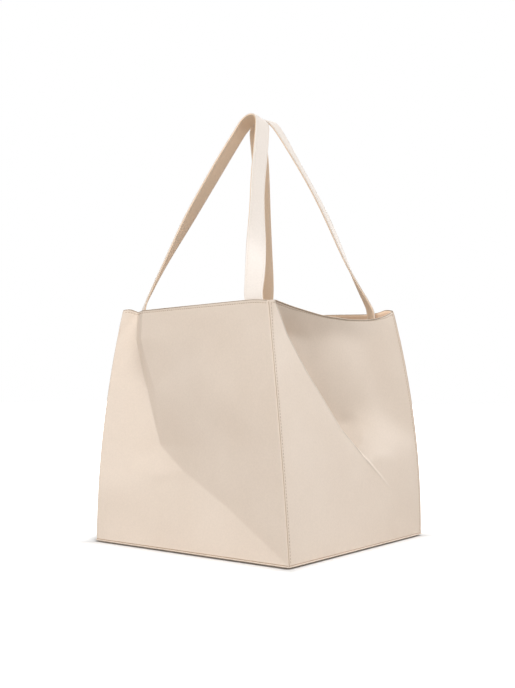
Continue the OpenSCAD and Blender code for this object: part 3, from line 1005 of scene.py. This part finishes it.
# How each raised strap lies: (share of its length from the right root, shift out of the loop's
# even line, turn out of the loop's plane in degrees).
STRAP_LIE = {
    "front": [
        (0, 0, 12), (0.04, 3, 18), (0.09, 1.5, 42), (0.15, 1.2, 68), (0.22, 0, 88), (0.30, -2.5, 87),
        (0.38, 1, 85), (0.45, 2, 86), (0.50, 1, 82), (0.55, 1, 67), (0.62, 2, 76), (0.70, 1, 70),
        (0.78, 2, 68), (0.85, 2, 52), (0.91, 2, 40), (0.96, 2, 38), (1, 0, 35),
    ],
    "back": [
        (0, 0, 20), (0.04, -5.4, 35), (0.09, -6.3, 50), (0.15, -5.9, 60), (0.22, -5.9, 65),
        (0.30, -6.1, 67), (0.38, -6.5, 62), (0.45, -3.9, 64), (0.50, 1, 69), (0.55, 5.5, 67),
        (0.62, 3.8, 59), (0.70, 4, 57), (0.78, 2.2, 62), (0.85, -1.8, 58), (0.90, -4.2, 54),
        (0.94, -3, 42), (0.97, -1.2, 36), (1, 0, 34),
    ],
}


def loop_line():
    """The loop's even middle line in its own plane, from the right root over the top to the left
    root, with the direction away from the loop in degrees."""
    centre = np.array([APEX_SHIFT, HANDLE_REACH - APEX_R])
    touch = {}
    for side in (1, -1):
        d = centre - np.array([side * HALF_SPAN, 0])
        touch[side] = math.degrees(math.atan2(d[1], d[0])) - side * (
            180 - math.degrees(math.acos(APEX_R / np.linalg.norm(d))))

    def around(angle):
        a = math.radians(angle)
        return np.array([math.cos(a), math.sin(a)])

    def leg(side):
        root = np.array([side * HALF_SPAN, 0])
        top = centre + APEX_R * around(touch[side])
        bow = LEG_BOW if side < 0 else 0.0
        out = []
        for s in np.linspace(0, 1, 90):
            place = root * (1 - s) + top * s + bow * math.sin(math.pi * s) * around(touch[side])
            out.append((place, touch[side]))
        return out

    turn_over = []
    for s in np.linspace(0, 1, 30)[1:-1]:
        angle = touch[1] * (1 - s) + touch[-1] * s
        turn_over.append((centre + APEX_R * around(angle), angle))
    line = leg(1) + turn_over + leg(-1)[::-1]
    return np.array([p for p, _ in line]), np.array([a for _, a in line])


def eased(values, reach):
    """Running average over a window that narrows at both ends."""
    out = values.copy()
    for i in range(len(values)):
        r = min(reach, i, len(values) - 1 - i)
        out[i] = values[i - r:i + r + 1].mean(axis=0)
    return out


def strap_frames(which):
    """A whole strap from one sewn end to the other, at the front: places, across, outward."""
    line, away = loop_line()
    step = np.linalg.norm(np.diff(line, axis=0), axis=1)
    share = np.concatenate([[0], np.cumsum(step)]) / step.sum()
    knots, shifts, turns = np.array(STRAP_LIE[which], float).T
    shift = eased(eased(np.interp(share, knots, shifts), 8), 8)
    turn = np.radians(eased(eased(np.interp(share, knots, turns), 8), 8))
    away = np.radians(eased(away, 3))
    plane = np.stack([np.cos(away), np.sin(away)], -1)
    line = line + plane * shift[:, None]
    places = BEND_MID + line[:, :1] * BEND_DIR + line[:, 1:] * PLANE_UP
    across = (plane[:, :1] * BEND_DIR + plane[:, 1:] * PLANE_UP) * np.cos(turn)[:, None]
    across = across - PLANE_OUT * np.sin(turn)[:, None]
    right, right_across = root_strip(1)
    left, left_across = root_strip(-1)
    places = np.concatenate([right, places, left[::-1]])
    across = np.concatenate([right_across, across, left_across[::-1]])
    step = np.linalg.norm(np.diff(places, axis=0), axis=1)
    where = np.concatenate([[0], np.cumsum(step)])
    even = np.linspace(0, where[-1], int(where[-1] / 2.5) + 1)
    places = np.stack([np.interp(even, where, places[:, k]) for k in range(3)], -1)
    across = unit(np.stack([np.interp(even, where, across[:, k]) for k in range(3)], -1))
    for _ in range(10):
        places[1:-1] = places[1:-1] * 0.5 + (places[:-2] + places[2:]) * 0.25
        across[1:-1] = unit(across[1:-1] * 0.5 + (across[:-2] + across[2:]) * 0.25)
    ahead = unit(np.gradient(places, axis=0))
    across = unit(across - ahead * np.sum(across * ahead, axis=1, keepdims=True))
    outward = np.cross(across, ahead)
    return places, across, outward


# Half of a strap layer's section: (share of half width, share of thickness).
LAYER_SECTION = [
    (-1.0, 0.06), (-1.0, 0.55), (-0.985, 0.85), (-0.95, 1.0), (-0.86, 1.02), (-0.80, 0.9), (-0.74, 1.03),
    (-0.4, 1.1), (0.0, 1.12), (0.4, 1.1), (0.74, 1.03), (0.80, 0.9), (0.86, 1.02), (0.95, 1.0),
    (0.985, 0.85), (1.0, 0.55), (1.0, 0.06),
]


def strap_layer(name, frames, sign, material):
    """One of a strap's two leather layers: the outer one for sign 1, the inner one for -1."""
    places, across, outward = frames
    rings = []
    for p, a, o in zip(places, across, outward):
        ring = [p + a * x * STRAP_W / 2 + o * sign * d * STRAP_PLY for x, d in LAYER_SECTION]
        rings.append(ring if sign < 0 else ring[::-1])
    return tube_mesh(name, rings, material)


def turned(points):
    """Half a turn about the middle of the rim."""
    return (points - RIM_CENTRE) * HALF_TURN + RIM_CENTRE


def patch_point(side, x, v, inset):
    """A point of the patch over a sewn strap end at the front, x millimetres from its middle."""
    if side > 0:
        u = 1 - (ROOT_INSET - x) / RIM_LEN
    else:
        valley, ridge = pleat_sides(v)
        slope = math.hypot((RIDGE_U[1] - VALLEY_U[1]) * RIM_LEN, PLEAT + PLEAT_SWELL)
        u = valley + (ridge - valley) * (0.5 + x / slope)
    return wall_surface("front", u, v, inset)


# Points across a patch, closer together at its edges, as shares of half its width.
PATCH_SHARES = np.sin(np.radians(np.linspace(-90, 90, 31)))


def patch_shape():
    """A patch laid flat: x and y from its middle, and its thickness with the stitches' furrow."""
    half_w = PATCH_W / 2
    half_h = PATCH_H / 2
    sx, sy = np.meshgrid(PATCH_SHARES * half_w, PATCH_SHARES * half_h)
    beyond_x = np.abs(sx) - (half_w - PATCH_R)
    beyond_y = np.abs(sy) - (half_h - PATCH_R)
    corner = (beyond_x > 0) & (beyond_y > 0)
    reach = np.maximum(np.hypot(beyond_x, beyond_y), 1e-9)
    pull = np.where(corner, np.maximum(beyond_x, beyond_y) / reach, 1)
    x = np.where(corner, np.sign(sx) * (half_w - PATCH_R + beyond_x * pull), sx)
    y = np.where(corner, np.sign(sy) * (half_h - PATCH_R + beyond_y * pull), sy)
    edge = np.minimum(half_w - np.abs(sx), half_h - np.abs(sy))
    thickness = PATCH_T * (0.55 + 0.45 * smooth_step(edge / 0.8)) - groove(edge - PATCH_STITCH_IN)
    return x, y, thickness


def patch_stitch_line():
    """The rectangle that a patch's stitches follow, from its middle."""
    half_w = PATCH_W / 2 - PATCH_STITCH_IN
    half_h = PATCH_H / 2 - PATCH_STITCH_IN
    line = []
    for a in np.radians(np.arange(0, 361, 3)):
        reach = min(half_w / max(abs(math.cos(a)), 1e-9), half_h / max(abs(math.sin(a)), 1e-9))
        line.append((reach * math.cos(a), reach * math.sin(a)))
    return np.array(line).T


def make_patches(which):
    """The two stitched patches that cover the lower parts of a handle's sewn strap ends."""
    depth = END_DEPTH + 2 * STRAP_PLY + GLUE_GAP
    low = 1 - END_LEN / (BODY_H - WALL_FOOT) - PATCH_MARGIN / BODY_H
    middle = low + PATCH_H / 2 / BODY_H
    x, y, thickness = patch_shape()
    line_x, line_y = patch_stitch_line()
    for side, place in ((-1, "left"), (1, "right")):
        under = patch_point(side, x, middle + y / BODY_H, depth)
        top = patch_point(side, x, middle + y / BODY_H, depth + 1)
        top = under + (top - under) * thickness[..., None]
        row = patch_point(side, line_x, middle + line_y / BODY_H, depth + PATCH_T)
        base = patch_point(side, line_x, middle + line_y / BODY_H, depth)
        inward = unit(row - base)
        row = row - inward * GROOVE * 0.6
        if which == "back":
            under = turned(under)
            top = turned(top)
            row = turned(row)
            inward = inward * HALF_TURN
        patch = slab_mesh(f"patch_{which}_{place}", under, top, INNER)
        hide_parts(f"{which}_end_patches")
        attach(patch, "bag")
        stitches = stitch_row(f"patch_stitches_{which}_{place}", [(row, inward)], THREAD_PAINTED_SHADE)
        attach(stitches, "bag")


def finish_strap(piece):
    """Bakes a strap piece's placement into its mesh."""
    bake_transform(piece)


def make_handle(which):
    """A strap of two leather layers with a row of stitches along each edge of both faces."""
    places, across, outward = strap_frames(which)
    if which == "back":
        places = turned(places)
        across = across * HALF_TURN
        outward = outward * HALF_TURN
    frames = (places, across, outward)
    top = strap_layer(f"strap_{which}_outside", frames, 1, STRAP_PAINTED_LIGHT)
    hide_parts(f"{which}_handle_outer")
    under = strap_layer(f"strap_{which}_inside", frames, -1, STRAP_INNER_PAINTED_LIGHT)
    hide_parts(f"{which}_handle_inner", f"{which}_strap_ends")
    rows = []
    for sign in (1, -1):
        for x in (-0.8, 0.8):
            line = places + across * x * STRAP_W / 2 + outward * sign * STRAP_PLY * 0.97
            rows.append((line, outward * sign))
    stitches = stitch_row(f"strap_{which}_stitches", rows, PALE_THREAD)
    finish_strap(top)
    finish_strap(under)
    finish_strap(stitches)


for which in ("front", "back"):
    make_handle(which)
    make_patches(which)


# Camera, lights and backdrop

# Place in metres and direction in degrees, fitted to the bag's corners in the photo.
CAMERA_AT = (0.821, -1.068, 0.218)
CAMERA_YAW = -37.8
CAMERA_PITCH = 1.96
FRAME_HEIGHT_PX = 688
FOCAL_PX = 986

# Distance in metres from the base at which the camera sees the floor as white, the floor's colour to
# the camera and to other rays, and the strength of the world's light.
FLOOR_CLEAR = 0.055
FLOOR_COLOUR = (0.86, 0.855, 0.85, 1)
FLOOR_BOUNCE = (0.66, 0.63, 0.6, 1)
FLOOR_REACH = 6000.0
AMBIENT = 0.27


def make_camera():
    """The photo's view. The frame is 688 pixels high, and the focal length is in its pixels."""
    data = bpy.data.cameras.new("camera")
    data.sensor_fit = "VERTICAL"
    data.sensor_height = 24
    data.lens = FOCAL_PX / FRAME_HEIGHT_PX * data.sensor_height
    camera = bpy.data.objects.new("camera", data)
    camera.location = CAMERA_AT
    camera.rotation_euler = (math.radians(90 + CAMERA_PITCH), 0, math.radians(-CAMERA_YAW))
    bpy.context.scene.collection.objects.link(camera)
    bpy.context.scene.camera = camera


def soft_light(name, azimuth, elevation, strength, softness):
    """A wide, distant lamp. Azimuth runs from +X towards +Y. Angles are in degrees."""
    data = bpy.data.lights.new(name, "SUN")
    data.angle = math.radians(softness)
    data.energy = strength
    lamp = bpy.data.objects.new(name, data)
    a = math.radians(azimuth)
    e = math.radians(elevation)
    toward = Vector((math.cos(e) * math.cos(a), math.cos(e) * math.sin(a), math.sin(e)))
    lamp.rotation_euler = toward.to_track_quat("Z", "Y").to_euler()
    lamp.location = toward * 2
    bpy.context.scene.collection.objects.link(lamp)


def make_world():
    """Even soft light, which cameras and glossy reflections see as plain white."""
    world = bpy.data.worlds.new("world")
    world.use_nodes = True
    tree = world.node_tree
    back = tree.nodes["Background"]
    rays = tree.nodes.new("ShaderNodeLightPath")
    either = tree.nodes.new("ShaderNodeMath")
    either.operation = "MAXIMUM"
    tree.links.new(rays.outputs["Is Camera Ray"], either.inputs[0])
    tree.links.new(rays.outputs["Is Glossy Ray"], either.inputs[1])
    level = tree.nodes.new("ShaderNodeMapRange")
    tree.links.new(either.outputs["Value"], level.inputs["Value"])
    level.inputs["To Min"].default_value = AMBIENT
    level.inputs["To Max"].default_value = 1.0
    tree.links.new(level.outputs["Result"], back.inputs["Strength"])
    back.inputs["Color"].default_value = (1, 1, 1, 1)
    bpy.context.scene.world = world


def make_floor():
    """A pale floor that the camera sees as white beyond the contact shadow."""
    m = Nodes("floor")
    rays = m.add("ShaderNodeLightPath")
    place = m.add("ShaderNodeNewGeometry")
    parts = m.add("ShaderNodeSeparateXYZ")
    m.link(place.outputs["Position"], parts.inputs["Vector"])
    gaps = []
    for axis, half in (("X", BASE_W / 2 * MM), ("Y", BASE_D / 2 * MM)):
        gaps.append(maths(m, "SUBTRACT", maths(m, "ABSOLUTE", parts.outputs[axis]), half))
    glow = m.add("ShaderNodeMapRange")
    m.link(maths(m, "MAXIMUM", *gaps), glow.inputs["Value"])
    glow.inputs["From Max"].default_value = FLOOR_CLEAR
    seen = maths(m, "MULTIPLY", rays.outputs["Is Camera Ray"], glow.outputs["Result"])
    tone = mixed(m, "MIX", FLOOR_BOUNCE, FLOOR_COLOUR, rays.outputs["Is Camera Ray"])
    m.link(tone, m.shader.inputs["Base Color"])
    m.shader.inputs["Roughness"].default_value = 0.9
    m.shader.inputs["Specular IOR Level"].default_value = 0.0
    m.shader.inputs["Emission Color"].default_value = (1, 1, 1, 1)
    m.link(seen, m.shader.inputs["Emission Strength"])
    corners = [(x * FLOOR_REACH, y * FLOOR_REACH, 0) for x, y in ((-1, -1), (1, -1), (1, 1), (-1, 1))]
    floor = new_mesh("floor", corners, [(0, 1, 2, 3)], m.material, smooth=False)


make_camera()
make_world()
make_floor()
soft_light("front_light", -84, 8, 1.28, softness=22)
soft_light("top_light", -26, 58, 1.6, softness=25)
soft_light("back_light", 70, 12, 1.2, softness=25)

bpy.context.scene.view_settings.view_transform = "Standard"
